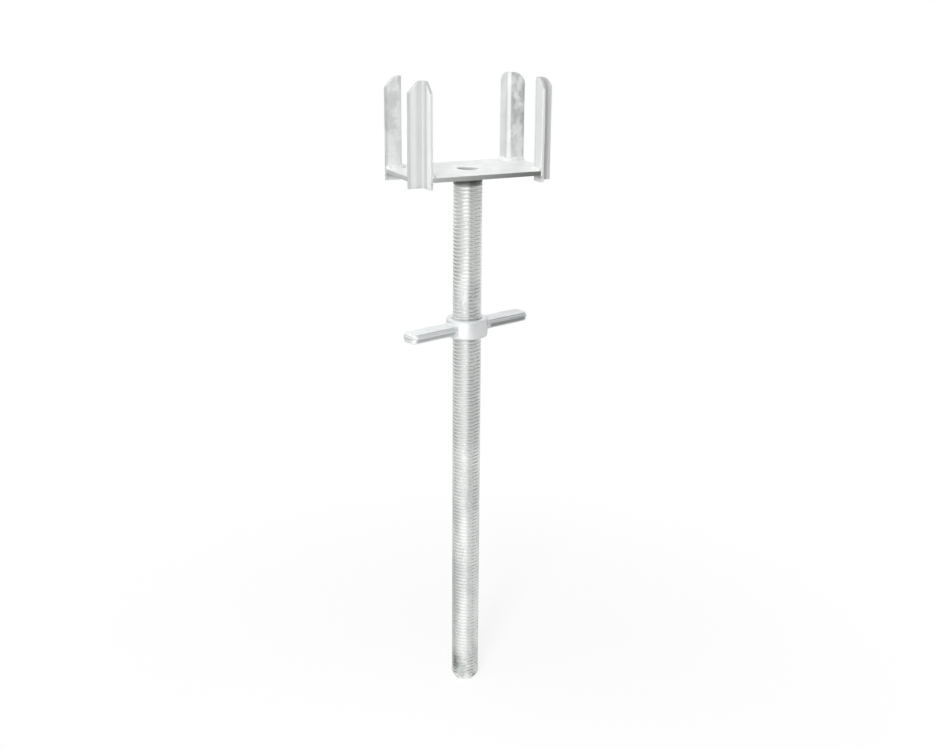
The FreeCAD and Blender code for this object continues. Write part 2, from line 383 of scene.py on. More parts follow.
def with_height(plan, height):
    """Plan points lifted to a height."""
    return np.column_stack([plan, np.broadcast_to(height, len(plan))])


def round_axis(radius, angle, height):
    """Points at a radius, turn angle and height about the spindle's axis."""
    return np.stack(np.broadcast_arrays(radius * np.cos(angle), radius * np.sin(angle), height), axis=-1)


# Threaded spindle

def thread_shares(crest, flank):
    """Places across one pitch: the crest's middle, five down each flank and the root's middle."""
    falling = crest / 2 + flank * np.linspace(0, 1, 5)
    return np.concatenate([[0.0], falling, [0.5], (1 - falling)[::-1]])


def thread_drop(place, crest, flank):
    """Share of the depth at a place in the pitch: 0 on the crest, 1 in the root, eased over the flank."""
    from_crest = np.abs((place + 0.5) % 1.0 - 0.5)
    return smooth_step((from_crest - crest / 2) / flank)


def thread_strip(sizes, radius, tube_length, columns):
    """Right-handed helical strip: the thread's profile carried round the axis, rising one pitch in a turn.

    A point at turn angle a and profile share s stands at height pitch * (a / 2 pi + s) and at radius
    R - depth * drop(s). The depth falls towards the foot and in a run above the nut, where zinc fills the
    thread. The lower end is cut by a cone, and points past either end are drawn onto the end's rim.
    """
    shares = thread_shares(sizes.crest, sizes.flank)
    rows = len(shares)
    turns = math.ceil(tube_length / sizes.pitch) + 2
    step = np.arange(turns * columns + 1)
    angle = 2 * math.pi * step[:, None] / columns + 0 * shares
    height = sizes.pitch * (step[:, None] / columns - 1 + shares)
    run = sizes.run * smooth_step(1 - np.abs(height - sizes.run_height) / sizes.run_length)
    open_share = (1 - sizes.filling * smooth_step(1 - height / tube_length)) * (1 - run)
    reach = radius - sizes.depth * open_share * thread_drop(shares, sizes.crest, sizes.flank)
    places = round_axis(radius, angle, height)
    reach = reach - sizes.unevenness * (0.5 + 0.5 * uneven(places, THREAD_WAVE))
    reach = np.minimum(reach, radius - sizes.taper_depth * (1 - np.maximum(height, 0) / sizes.taper_height))
    reach = np.where(height <= 0, radius - sizes.taper_depth, reach)
    reach = np.where(height >= tube_length, radius - sizes.depth, reach)
    height = np.clip(height, 0, tube_length)
    points = round_axis(reach, angle, height).reshape(-1, 3)
    number = np.arange(len(step) * rows).reshape(len(step), rows)
    following = np.concatenate([number[:-columns], number[columns:, :1]], axis=1)
    last_turn = number[-columns - 1:]
    quads = [strip.ravel()[grid_quads(*strip.shape)] for strip in (following, last_turn)]
    return points, np.concatenate(quads)[:, [0, 3, 2, 1]]


def lathe(profile, columns):
    """Surface of revolution about the spindle axis from open (radius, height) points."""
    angle = 2 * math.pi * np.arange(columns) / columns
    radius, height = np.array(profile).T
    points = round_axis(radius[:, None], angle, height[:, None])
    return points.reshape(-1, 3), grid_quads(len(profile), columns, wrap_columns=True)


def spindle_parts(sizes):
    """The threaded outside, and the end faces with the bore."""
    columns = 48
    radius = TUBE_HIGH[0]
    tube_length = TUBE_HIGH[2] - TUBE_LOW[2]
    bore = radius - sizes.wall
    lip = 0.6 * MM
    inside = [(radius - sizes.taper_depth, 0), (bore + lip, 0), (bore, lip), (bore, tube_length),
              (radius - sizes.depth, tube_length)]
    return [thread_strip(sizes, radius, tube_length, columns), lathe(inside, columns)]


# Folded uprights

def crop_height(along, top, leg, crop, shoulder):
    """Height of a leg's top edge along the leg: level, then cropped at 45 degrees with round shoulders."""
    setback = shoulder * math.tan(math.radians(22.5))
    reach = shoulder * math.sin(math.radians(45))
    first = leg - crop - setback
    last = leg - shoulder
    on_first = top - shoulder + np.sqrt(np.maximum(shoulder ** 2 - np.maximum(along - first, 0) ** 2, 0))
    on_slope = top - (along - (leg - crop))
    foot = top - crop - setback
    on_last = foot + np.sqrt(np.maximum(shoulder ** 2 - np.clip(along - last, 0, shoulder) ** 2, 0))
    height = np.where(along < first + reach, on_first, on_slope)
    return np.where(along > last + reach, on_last, height)


def strip_loop(width, wall, edge_round):
    """Closed section of a flat strip, as (place across, offset from the middle) points with round toes."""
    half = wall / 2
    run = width / 2 - edge_round
    across = run * np.sin(np.linspace(-math.pi / 2, math.pi / 2, 61))
    turn = np.linspace(-math.pi / 2, 0, 5)
    toe_across = run + edge_round * np.cos(turn)
    toe_offset = half - edge_round - edge_round * np.sin(turn)
    outer = np.stack([across, np.full_like(across, -half)], axis=1)
    low_toe = np.stack([toe_across, -toe_offset], axis=1)
    high_toe = np.stack([toe_across, toe_offset], axis=1)[::-1]
    side = np.concatenate([outer, low_toe[1:], high_toe])
    return np.concatenate([side[:-1], -side[:-1]]) + [width / 2, 0]


def fold(across, offset, leg, wall, inner_bend):
    """Bends a strip into an angle: two straight legs joined by a quarter turn of its middle line."""
    middle_bend = inner_bend + wall / 2
    bend_centre = inner_bend + wall
    run = leg - bend_centre
    turn = np.clip((across - run) / middle_bend, 0, math.pi / 2)
    before = np.maximum(run - across, 0)
    after = np.maximum(across - run - middle_bend * math.pi / 2, 0)
    radius = middle_bend - offset
    return bend_centre - radius * np.sin(turn) + before, bend_centre - radius * np.cos(turn) + after


def upright_marks(corner, section, width, bend_start, z, on_rim):
    """Darker places of an upright, and its wide leg, on the section's points at each row's height.

    Its toe and sheared ends are darker for wear; its narrow leg and a line beside the bend are darker.
    Painted shade darkens its hollow, where the near leg's shadow and a shading line fall, and painted
    shadow of the plate darkens its outer faces below the plate.
    """
    darkening = UPRIGHT_WEAR_AND_SHADE
    from_toe, inner = section[:, 0], section[:, 1] > 0
    bend_end = width - bend_start
    toe = corner["toe"] * bell(from_toe, 0, 2.5 * MM)
    # Painted shade in the hollow: the near leg's shadow, and a shading line at the ridge
    hollow = smooth_step((from_toe - corner["hollow"]) / (5 * MM))
    hollow = hollow * smooth_step((bend_end + 9 * MM - from_toe) / (2 * MM))
    ridge = bell(from_toe, bend_end + 6.5 * MM, 2 * MM)
    line = corner["line"] * inner * (darkening["hollow"] * hollow + darkening["ridge"] * ridge)
    narrow = darkening["narrow_leg"] + darkening["bend"] * bell(from_toe, bend_end + 0.5 * MM, 1.2 * MM)
    narrow = narrow * smooth_step((width - from_toe - 0.3 * MM) / (0.6 * MM))
    narrow = narrow * ~inner * smooth_step((from_toe - bend_end + 2 * MM) / MM)
    # Painted shadow of the plate on the outer faces below it, darkest just under the plate
    foot = CORNER_LOW[2]
    below = smooth_step((z - foot) / (PLATE_LOW[2] - foot)) * (z < PLATE_LOW[2])
    faces = np.maximum(np.maximum(toe, line), narrow)
    wear_and_shade = np.maximum(faces, darkening["rim"] * on_rim[:, None])
    wear_and_shade = np.maximum(wear_and_shade, (darkening["below_plate"] + narrow) * below * ~inner)
    wide = 1 - smooth_step((from_toe - bend_start - 0.5 * MM) / (1.5 * MM))
    wide = wide * (0.4 + 0.6 * smooth_step((z - PLATE_HIGH[2]) / (60 * MM)))
    return {WEAR_AND_SHADE: wear_and_shade, WIDE_LEG: wide}


def upright_parts(sizes, corner):
    """A folded angle: the strip's section carried from its foot up to the cropped edge.

    Each row draws the section towards its middle line by the round of the cut edges, and the first and last
    rows close on it.
    """
    leg = CORNER_HIGH[0] - CORNER_LOW[0]
    foot, top = CORNER_LOW[2], CORNER_HIGH[2]
    crop, shoulder = corner["crop"], corner["shoulder"]
    wall, rim = sizes.wall, sizes.edge_round
    bend_start = leg - sizes.inner_bend - wall
    width = 2 * bend_start + (sizes.inner_bend + wall / 2) * math.pi / 2
    section = strip_loop(width, wall, sizes.edge_round)
    turn = np.linspace(0, math.pi / 2, 5)
    inset = rim * (1 - np.sin(turn))
    rise = rim * (1 - np.cos(turn))
    rows = np.linspace(0, 1, 48)
    low_inset = np.concatenate([[wall / 2], inset, 0 * rows[1:-1], inset[::-1], [wall / 2]])
    climb = np.concatenate([0 * rise, [0], rows[1:-1], 1 + 0 * rise, [1]])
    lift = np.concatenate([[0], rise, 0 * rows[1:-1], -rise[::-1], [0]])
    offset = section[:, 1] * (1 - low_inset[:, None] / (wall / 2))
    narrowing = 1 - np.minimum(low_inset, rim)[:, None] / (width / 2)
    across = width / 2 + (section[:, 0] - width / 2) * narrowing
    x, y = fold(across, offset, leg, wall, sizes.inner_bend)
    limit = np.minimum(crop_height(x, top, leg, crop, shoulder), crop_height(y, top, leg, crop, shoulder))
    z = foot + climb[:, None] * (limit - foot) + lift[:, None]
    points = np.stack([x + CORNER_LOW[0], y + CORNER_LOW[1], z], axis=-1)
    wave = sizes.unevenness * uneven(points, UPRIGHT_WAVE)[..., None]
    points = np.clip(points + wave * np.array([0.7, 0.7, 0.3]), CORNER_LOW, CORNER_HIGH)
    marks = upright_marks(corner, section, width, bend_start, z, low_inset > 0.3 * rim)
    return points.reshape(-1, 3), grid_quads(len(climb), len(section), wrap_columns=True), marks


# Head plate

def plate_outline(sizes):
    """The cross-shaped plate's loop, from the quarter between its right and back edges, with normals."""
    outer_x, outer_y = PLATE_HIGH[0], PLATE_HIGH[1]
    inner_x, inner_y = CORNER_LOW[0], CORNER_LOW[1]
    corner, notch = sizes.corner, sizes.notch
    right = math.pi / 2
    first_corner = arc((outer_x - corner, inner_y - corner), corner, 0, right, 7)
    notch_points, notch_away = arc((inner_x + notch, inner_y + notch), notch, -right, -2 * right, 9)
    second_corner = arc((inner_x - corner, outer_y - corner), corner, 0, right, 7)
    runs = [
        (straight((outer_x, 0), first_corner[0][0], 12), np.array([1.0, 0.0])),
        first_corner,
        (straight(first_corner[0][-1], notch_points[0], 8), np.array([0.0, 1.0])),
        (notch_points, -notch_away),
        (straight(notch_points[-1], second_corner[0][0], 8), np.array([1.0, 0.0])),
        second_corner,
        (straight(second_corner[0][-1], (0, outer_y), 20), np.array([0.0, 1.0])),
    ]
    return closed_outline(runs)


def plate_parts(sizes):
    """The plate as rings: hole wall, top face out to the outline, rounded rim, underside back to the hole.

    Each face ring lies at a share of the way along rays from the hole to the outline. The sheared edge is
    darker: wear plus painted shade that grows towards +X. The hole's wall has painted shadow at its foot.
    """
    outline, normals = plate_outline(sizes)
    rim = sizes.edge_round
    low, high = PLATE_LOW[2], PLATE_HIGH[2]
    turn = np.linspace(0, math.pi / 2, 5)
    inset = rim * (1 - np.cos(turn))
    drop = rim * (1 - np.sin(turn))
    inner_edge = outline - normals * rim
    ray = inner_edge / np.linalg.norm(inner_edge, axis=1, keepdims=True)
    hole = ray * (sizes.hole / 2)
    hole_edge = ray * (sizes.hole / 2 + rim)
    face = [hole_edge + (inner_edge - hole_edge) * step for step in np.linspace(0, 1, 16)]
    hole_rim = [hole + ray * step for step in inset[:-1]]
    edge_rim = [outline - normals * step for step in inset[::-1][1:]]
    top = [with_height(ring, high - step) for ring, step in zip(hole_rim, drop)]
    top += [with_height(ring, high) for ring in face]
    top += [with_height(ring, high - step) for ring, step in zip(edge_rim, drop[::-1][1:])]
    under = [ring * [1, 1, -1] + [0, 0, low + high] for ring in reversed(top)]
    points = np.stack(top + under)
    wave = sizes.unevenness * uneven(points * [1, 1, 0], PLATE_WAVE)
    points = points - np.maximum(wave, 0)[..., None] * [0, 0, 0.5]
    middle = len(top)
    on_side = np.abs(np.arange(len(points)) - middle + 0.5) < len(edge_rim) - 1
    # The sheared edge is darker for wear, and painted shade makes it darker towards +X
    edge_wear_and_shade = np.clip(0.8 + 0.23 * points[..., 0] / CORNER_LOW[0], 0.5, 0.97)
    # Painted shadow on the foot of the hole's wall
    painted_hole_shade = 0.5
    wear_and_shade = on_side[:, None] * edge_wear_and_shade
    wear_and_shade[-1] = painted_hole_shade
    quads = grid_quads(len(points), len(outline), wrap_rows=True, wrap_columns=True)
    return points.reshape(-1, 3), quads, {WEAR_AND_SHADE: wear_and_shade}


# Weld beads

def bead(path, outward, upward, distance, total, sizes, closed):
    """Weld bead in the corner of two faces: a section in polar form round a path along the corner.

    Over the open quarter between the faces its radius is the bead's leg with a bulge between the toes,
    stepped by crescent ripples. Behind the faces it stays small. An open bead narrows to a point at both
    ends.
    """
    hidden, blend = 1.1 * MM, 0.22
    place = np.linspace(0, 2 * math.pi, 36, endpoint=False) - math.radians(20)
    quarter = place / (math.pi / 2)
    showing = smooth_step((quarter + blend) / blend) * smooth_step((1 + blend - quarter) / blend)
    crescent = 0.9 * (quarter - 0.5) ** 2
    phase = distance[:, None] / sizes.ripple_step + crescent
    ripple = np.abs(np.sin(math.pi * phase)) ** 0.6 - 0.6
    swell = 0.05 * np.sin(2 * math.pi * distance / (11 * MM) + 1.0)[:, None]
    reach = sizes.leg * (1 + swell + sizes.bulge * np.sin(math.pi * np.clip(quarter, 0, 1)))
    reach = reach + sizes.ripple_height * ripple
    radius = hidden + (reach - hidden) * showing
    if not closed:
        from_end = np.minimum(distance, total - distance) / (0.7 * sizes.leg)
        radius = radius * np.sqrt(1 - (1 - np.clip(from_end, 0, 1)) ** 2)[:, None]
    points = path[:, None] + radius[..., None] * (np.cos(place)[:, None] * outward[:, None]
                                                  + np.sin(place)[:, None] * upward)
    return points.reshape(-1, 3), grid_quads(len(path), len(place), wrap_rows=closed, wrap_columns=True)


def upright_weld_parts(sizes, bend, leg):
    """The bead on the plate along an angle's outer faces and round its bend, for the +X +Y corner."""
    run = leg - bend
    total = 2 * run + bend * math.pi / 2
    distance = np.linspace(0, total, 170)
    turn = np.clip((distance - run) / bend, 0, math.pi / 2)
    x = bend - bend * np.sin(turn) + np.maximum(run - distance, 0)
    y = bend - bend * np.cos(turn) + np.maximum(distance - run - bend * math.pi / 2, 0)
    path = np.stack([x + CORNER_LOW[0], y + CORNER_LOW[1], np.full_like(x, PLATE_HIGH[2])], axis=1)
    outward = np.stack([-np.sin(turn), -np.cos(turn), 0 * turn], axis=1)
    return bead(path, outward, np.array([0.0, 0.0, 1.0]), distance, total, sizes, closed=False)


def spindle_weld_parts(sizes):
    """The bead round the spindle under the plate."""
    radius = TUBE_HIGH[0]
    ripples = round(2 * math.pi * radius / sizes.ripple_step)
    angle = np.linspace(0, 2 * math.pi, 320, endpoint=False)
    distance = angle / (2 * math.pi) * ripples * sizes.ripple_step
    outward = round_axis(1.0, angle, 0.0)
    path = radius * outward + [0, 0, PLATE_LOW[2]]
    return bead(path, outward, np.array([0.0, 0.0, -1.0]), distance, None, sizes, closed=True)


# Cast wing nut

def nut_outline(sizes):
    """The nut's plan, made from a quarter: a handle's end, corner, side and flare, and the collar's arc."""
    collar, corner, flare = sizes.collar / 2, sizes.end_round, sizes.root_flare
    half_span, half_width = sizes.span / 2, sizes.width / 2
    right = math.pi / 2
    flare_y = half_width + flare
    flare_x = math.sqrt((collar + flare) ** 2 - flare_y ** 2)
    meeting = math.atan2(flare_y, flare_x)
    end_corner = arc((half_span - corner, half_width - corner), corner, 0, right, 14)
    flare_points, flare_away = arc((flare_x, flare_y), flare, -right, meeting - 2 * right, 16)
    runs = [
        (straight((half_span, 0), end_corner[0][0], 8), np.array([1.0, 0.0])),
        end_corner,
        (straight(end_corner[0][-1], flare_points[0], 34), np.array([0.0, 1.0])),
        (flare_points, -flare_away),
        arc((0, 0), collar, meeting, right, 22),
    ]
    return closed_outline(runs)


def nut_rings(sizes, rise, draft):
    """Rings of one half of the nut, from the parting line over the handles and the collar to the bore.

    Heights count from the parting plane, which lies a rise nearer to this half's faces than the nut's
    middle. Below the handles' flats a ring is a mix of two forms: the drafted outline of the handles drawn
    in by an inset, and the collar's wall. The mix follows how far the outline stands off the collar. Above,
    rings run along rays.
    """
    outline, normals = nut_outline(sizes)
    collar, half = sizes.collar / 2, (NUT_HIGH[2] - NUT_LOW[2]) / 2 - rise
    flat = sizes.thickness / 2 - rise
    edge, fillet, rim = sizes.edge_round, sizes.root_fillet, sizes.rim
    bore = TUBE_HIGH[0] + sizes.bore_gap
    stand_off = np.linalg.norm(outline, axis=1) - collar
    handle = smooth_step(stand_off / (8 * MM))[:, None]

    def wall(height):
        return collar - sizes.collar_draft * height / half

    radial = outline / np.linalg.norm(outline, axis=1, keepdims=True)
    turn = np.linspace(0, math.pi / 2, 7)
    ridge = np.array([0, 0.25, 0.6, 1.0]) * MM
    side = np.concatenate([ridge, np.linspace(ridge[-1], flat - edge, 6)[1:]])
    side_inset = draft * side / flat
    side_inset = side_inset - sizes.flash * bell(side, 0, 0.4 * MM)
    heights = np.concatenate([side, flat - edge + edge * np.sin(turn[1:])])
    insets = np.concatenate([side_inset, side_inset[-1] + edge * (1 - np.cos(turn[1:]))])
    rings = []
    for height, inset in zip(heights, insets):
        on_handle = outline - normals * inset
        on_collar = radial * wall(height)
        rings.append(with_height(on_collar + (on_handle - on_collar) * handle, height))
    last = rings[-1][:, :2]
    reach = np.linalg.norm(last, axis=1, keepdims=True)
    ray = last / reach
    room = np.maximum(reach - wall(flat), 0)
    foot = np.minimum(room, fillet)
    for step in np.linspace(0, 1, 28)[1:]:
        rings.append(with_height(ray * (reach + (wall(flat) + foot - reach) * step), flat))
    for angle in turn[1:]:
        height = flat + fillet * (1 - math.cos(angle))
        rings.append(with_height(ray * (wall(height) + foot * (1 - math.sin(angle))), height))
    for angle in turn:
        height = half - rim + rim * math.sin(angle)
        rings.append(with_height(ray * (wall(half - rim) - rim * (1 - math.cos(angle))), height))
    for radius in np.linspace(wall(half - rim) - rim, bore + sizes.mouth, 4)[1:]:
        rings.append(with_height(ray * radius, half))
    for height in np.linspace(half - sizes.mouth, 0, 6):
        rings.append(with_height(ray * bore, height))
    return np.stack(rings)


def nut_marks(sizes, points, reach):
    """Darker places of the nut, on points at a reach from its axis.

    Painted shade darkens the handles along their upper edges and on the lower half of their long sides,
    more so on the +X handle. Their ends are a little darker, and the collar's wall very slightly.
    """
    darkening = NUT_WEAR_AND_SHADE
    half, edge = sizes.thickness / 2, sizes.edge_round / 2
    x, z = np.abs(points[..., 0]), points[..., 2]
    far = smooth_step(points[..., 0] / (20 * MM))
    tip = sizes.span / 2 - sizes.end_round / 2
    on_side = smooth_step((reach - sizes.collar / 2 - 3 * MM) / (4 * MM))
    on_side = on_side * smooth_step((tip - x) / (5 * MM))
    lower_side = smooth_step((sizes.parting_rise + far * MM - z) / (2 * MM))
    lower_side = lower_side * smooth_step((z + half - 0.5 * MM) / (2.5 * MM))
    upper_edge = smooth_step(1 - np.abs(z - half + edge) / edge)
    at_end = smooth_step((x - tip) / (3 * MM))
    at_end = at_end * smooth_step((z + 2 * MM) / (3 * MM)) * smooth_step((half - edge - z) / MM)
    on_wall = smooth_step(1 - np.abs(reach - sizes.collar / 2) / (3 * MM))
    # Painted shade on the handles' lower sides and along their upper edges, more on the +X handle
    painted_side_shade = (darkening["side"] + darkening["far_side"] * far) * lower_side
    edge_wear_and_shade = (darkening["edge"] + darkening["far_edge"] * far) * upper_edge
    wear_and_shade = np.maximum(on_side * np.maximum(painted_side_shade, edge_wear_and_shade), darkening["end"] * at_end)
    return {WEAR_AND_SHADE: np.maximum(wear_and_shade, darkening["wall"] * on_wall)}


def nut_parts(sizes):
    """The whole nut: two halves that meet at the parting plane, roughened, turned and set in place."""
    upper = nut_rings(sizes, sizes.parting_rise, sizes.upper_draft)
    lower = nut_rings(sizes, -sizes.parting_rise, sizes.lower_draft)[-2:0:-1] * [1, 1, -1]
    points = np.concatenate([upper, lower]) + [0, 0, sizes.parting_rise]
    reach = np.linalg.norm(points[..., :2], axis=-1)
    marks = nut_marks(sizes, points, reach)
    bore_mouth = TUBE_HIGH[0] + sizes.bore_gap + sizes.mouth
    free = smooth_step((reach - bore_mouth) / (3 * MM))[..., None]
    rough = np.stack([uneven(points, wave) for wave in NUT_WAVES], axis=-1)
    points = points + sizes.unevenness * free * rough
    cosine, sine = math.cos(sizes.turn), math.sin(sizes.turn)
    turned = points @ np.array([[cosine, sine, 0], [-sine, cosine, 0], [0, 0, 1]])
    turned = turned + [0, 0, (NUT_LOW[2] + NUT_HIGH[2]) / 2]
    quads = grid_quads(len(points), points.shape[1], wrap_rows=True, wrap_columns=True)
    return turned.reshape(-1, 3), quads, marks


# Shader helpers

def add_node(tree, kind, inputs=None, **settings):
    """Adds a node, sets its options, and fills inputs, by name or number, with values or linked sockets."""
    made = tree.nodes.new(kind)
    for key, value in settings.items():
        setattr(made, key, value)
    for key, value in (inputs or {}).items():
        if isinstance(value, bpy.types.NodeSocket):
            tree.links.new(value, made.inputs[key])
        else:
            made.inputs[key].default_value = value
    return made


def calculate(tree, operation, first, second=0.0):
    """A Math node's result."""
    return add_node(tree, "ShaderNodeMath", {0: first, 1: second}, operation=operation).outputs[0]


def vector_result(tree, operation, first, second):
    """A Vector Math node's vector result."""
    return add_node(tree, "ShaderNodeVectorMath", {0: first, 1: second}, operation=operation).outputs[0]


def vector_length(tree, vector):
    """Length of a vector."""
    return add_node(tree, "ShaderNodeVectorMath", {0: vector}, operation="LENGTH").outputs["Value"]


def ranged(tree, value, low, high, to_low=0.0, to_high=1.0):
    """A value mapped smoothly from one range to another and kept inside it."""
    inputs = {"Value": value, "From Min": low, "From Max": high, "To Min": to_low, "To Max": to_high}
    return add_node(tree, "ShaderNodeMapRange", inputs, interpolation_type="SMOOTHSTEP").outputs["Result"]


def blended(tree, factor, first, second):
    """Two colours mixed by a factor."""
    return add_node(tree, "ShaderNodeMix", {0: factor, 6: first, 7: second}, data_type="RGBA").outputs[2]


def opaque(rgb):
    """A colour with full alpha."""
    return (*rgb, 1.0)


def noise(tree, place, size, detail, roughness=0.5):
    """Outputs of a fractal noise whose lumps have a size."""
    inputs = {"Vector": place, "Scale": calculate(tree, "DIVIDE", 1.0, size), "Detail": detail,
              "Roughness": roughness}
    return add_node(tree, "ShaderNodeTexNoise", inputs).outputs


def crystal_grey(tree, given):
    """Zinc crystals: cells of a warped Voronoi pattern, each with its own grey."""
    warp = noise(tree, given["Vector"], given["Size"], 2.0)["Color"]
    shift = vector_result(tree, "SUBTRACT", warp, (0.5, 0.5, 0.5))
    sized = add_node(tree, "ShaderNodeVectorMath", {0: shift, "Scale": given["Size"]}, operation="SCALE")
    place = vector_result(tree, "ADD", given["Vector"], sized.outputs[0])
    scale = calculate(tree, "DIVIDE", 1.0, given["Size"])
    cells = add_node(tree, "ShaderNodeTexVoronoi", {"Vector": place, "Scale": scale}).outputs["Color"]
    return add_node(tree, "ShaderNodeSeparateColor", {"Color": cells}).outputs["Red"]


def dull_cloud(tree, given):
    """Dull clouds: fractal noise stretched along Z, spread over the whole range from pale to dull."""
    flattening = calculate(tree, "DIVIDE", 1.0, given["Stretch"])
    squeeze = add_node(tree, "ShaderNodeCombineXYZ", {"X": 1.0, "Y": 1.0, "Z": flattening})
    place = vector_result(tree, "MULTIPLY", given["Vector"], squeeze.outputs[0])
    return ranged(tree, noise(tree, place, given["Size"], 3.0, 0.45)[0], 0.32, 0.68)


def skin_height(tree, given):
    """Height of the zinc's skin: fine grain and soft lumps."""
    grain = noise(tree, given["Vector"], given["Grain"], 3.0)[0]
    lumps = noise(tree, given["Vector"], given["Lump"], 1.0)[0]
    return calculate(tree, "ADD", calculate(tree, "MULTIPLY", grain, 0.35), lumps)


def stain_spot(tree, given):
    """Sparse stains: the highest spots of a fractal noise."""
    spots = noise(tree, given["Vector"], given["Size"], 4.0)[0]
    return ranged(tree, spots, given["Level"], calculate(tree, "ADD", given["Level"], 0.14))


# Shared node groups, and the function that draws each
GROUPS = {
    "zinc_crystals": crystal_grey,
    "dull_clouds": dull_cloud,
    "zinc_skin": skin_height,
    "stain_spots": stain_spot,
}


def use_group(tree, name, inputs):
    """What a shared node group puts out, placed in a material. The group is drawn at its first use.

    Its inputs are values, apart from the Vector, and it puts out one value.
    """
    group = bpy.data.node_groups.get(name)
    if group is None:
        group = bpy.data.node_groups.new(name, "ShaderNodeTree")
        for label in inputs:
            kind = "NodeSocketVector" if label == "Vector" else "NodeSocketFloat"
            group.interface.new_socket(label, in_out="INPUT", socket_type=kind)
        group.interface.new_socket("Value", in_out="OUTPUT", socket_type="NodeSocketFloat")
        given = group.nodes.new("NodeGroupInput").outputs
        result = group.nodes.new("NodeGroupOutput").inputs["Value"]
        group.links.new(GROUPS[name](group, given), result)
    return add_node(tree, "ShaderNodeGroup", inputs, node_tree=group).outputs["Value"]


def new_material(name):
    """A material with only a Principled shader and an output, its tree, shader and Object coordinates."""
    material = bpy.data.materials.new(name)
    material.use_nodes = True
    tree = material.node_tree
    shader = tree.nodes["Principled BSDF"]
    place = tree.nodes.new("ShaderNodeTexCoord").outputs["Object"]
    return material, tree, shader, place


def stain_at(tree, place, centre, size):
    """A soft stain that fades out at a distance from its centre, given for each axis."""
    away = vector_result(tree, "SUBTRACT", place, centre)
    share_away = vector_result(tree, "DIVIDE", away, size)
    return ranged(tree, vector_length(tree, share_away), 0.1, 1.0, 1.0, 0.0)


def attribute(tree, name):
    """A mark of the mesh, or 0 where the mesh has none by that name."""
    return add_node(tree, "ShaderNodeAttribute", attribute_name=name).outputs["Fac"]


def add_skin(tree, shader, place, finish, lumps, strength):
    """Bumps a shader's surface with the zinc's skin, whose lumps are a number of grains wide."""
    sizes = {"Vector": place, "Grain": finish.grain, "Lump": lumps * finish.grain}
    height = use_group(tree, "zinc_skin", sizes)
    bump = add_node(tree, "ShaderNodeBump",
                    {"Strength": strength, "Distance": SKIN_DEPTH, "Height": height})
    tree.links.new(bump.outputs[0], shader.inputs["Normal"])


def clouded(tree, place, crystal, cloud, stretch, contrast):
    """Tone of the zinc: dull clouds with crystals of a contrast in them."""
    crystals = use_group(tree, "zinc_crystals", {"Vector": place, "Size": crystal})
    clouds = use_group(tree, "dull_clouds", {"Vector": place, "Size": cloud, "Stretch": stretch})
    spread = calculate(tree, "MULTIPLY", calculate(tree, "SUBTRACT", crystals, 0.5), contrast)
    return calculate(tree, "ADD", clouds, spread)


def zinc_material(name, finish, pale, dull, look):
    """Galvanised steel: dull clouds and crystals in colour and gloss, wear and painted shade, a grained
    skin.

    The look holds the share of metal, the roughness, the crystals' contrast, the clouds' stretch and the
    height of the skin, and whether the clouds keep mostly to an upright's wide leg.
    """
    material, tree, shader, place = new_material(name)
    tone = clouded(tree, place, finish.crystal, finish.cloud, look["stretch"], look["crystals"])
    dulled = ranged(tree, tone, 0.0, 1.0)
    if look.get("mottled_leg"):
        leg_share = ranged(tree, attribute(tree, WIDE_LEG), 0.0, 1.0, 0.15, 1.0)
        dulled = calculate(tree, "MULTIPLY", dulled, leg_share)
    base = blended(tree, dulled, opaque(pale), opaque(dull))
    # Darker towards the dark zinc by the mark: wear, and painted shade and shadow
    base = blended(tree, attribute(tree, WEAR_AND_SHADE), base, opaque(finish.cut))
    gloss = ranged(tree, tone, 0.0, 1.0, look["roughness"] - 0.06, look["roughness"] + 0.08)
    tree.links.new(base, shader.inputs["Base Color"])
    tree.links.new(gloss, shader.inputs["Roughness"])
    shader.inputs["Metallic"].default_value = look["metal"]
    add_skin(tree, shader, place, finish, 6, look["skin"])
    return material


def foot_stains(tree, place, height):
    """Stains near the spindle's foot: faint spots up its side, and darker stains at set places."""
    spots = use_group(tree, "stain_spots", {"Vector": place, "Size": 9 * MM, "Level": 0.45})
    faint = calculate(tree, "MULTIPLY", spots, ranged(tree, height, 10 * MM, 60 * MM, 0.35, 0.0))
    dark = 0.0
    for centre, reach in FOOT_STAINS:
        dark = calculate(tree, "MAXIMUM", dark, stain_at(tree, place, centre, reach))
    dark = calculate(tree, "MULTIPLY", calculate(tree, "MULTIPLY", dark, 0.95),
                     ranged(tree, spots, 0.0, 1.0, 0.7, 1.0))
    return calculate(tree, "MAXIMUM", faint, dark)


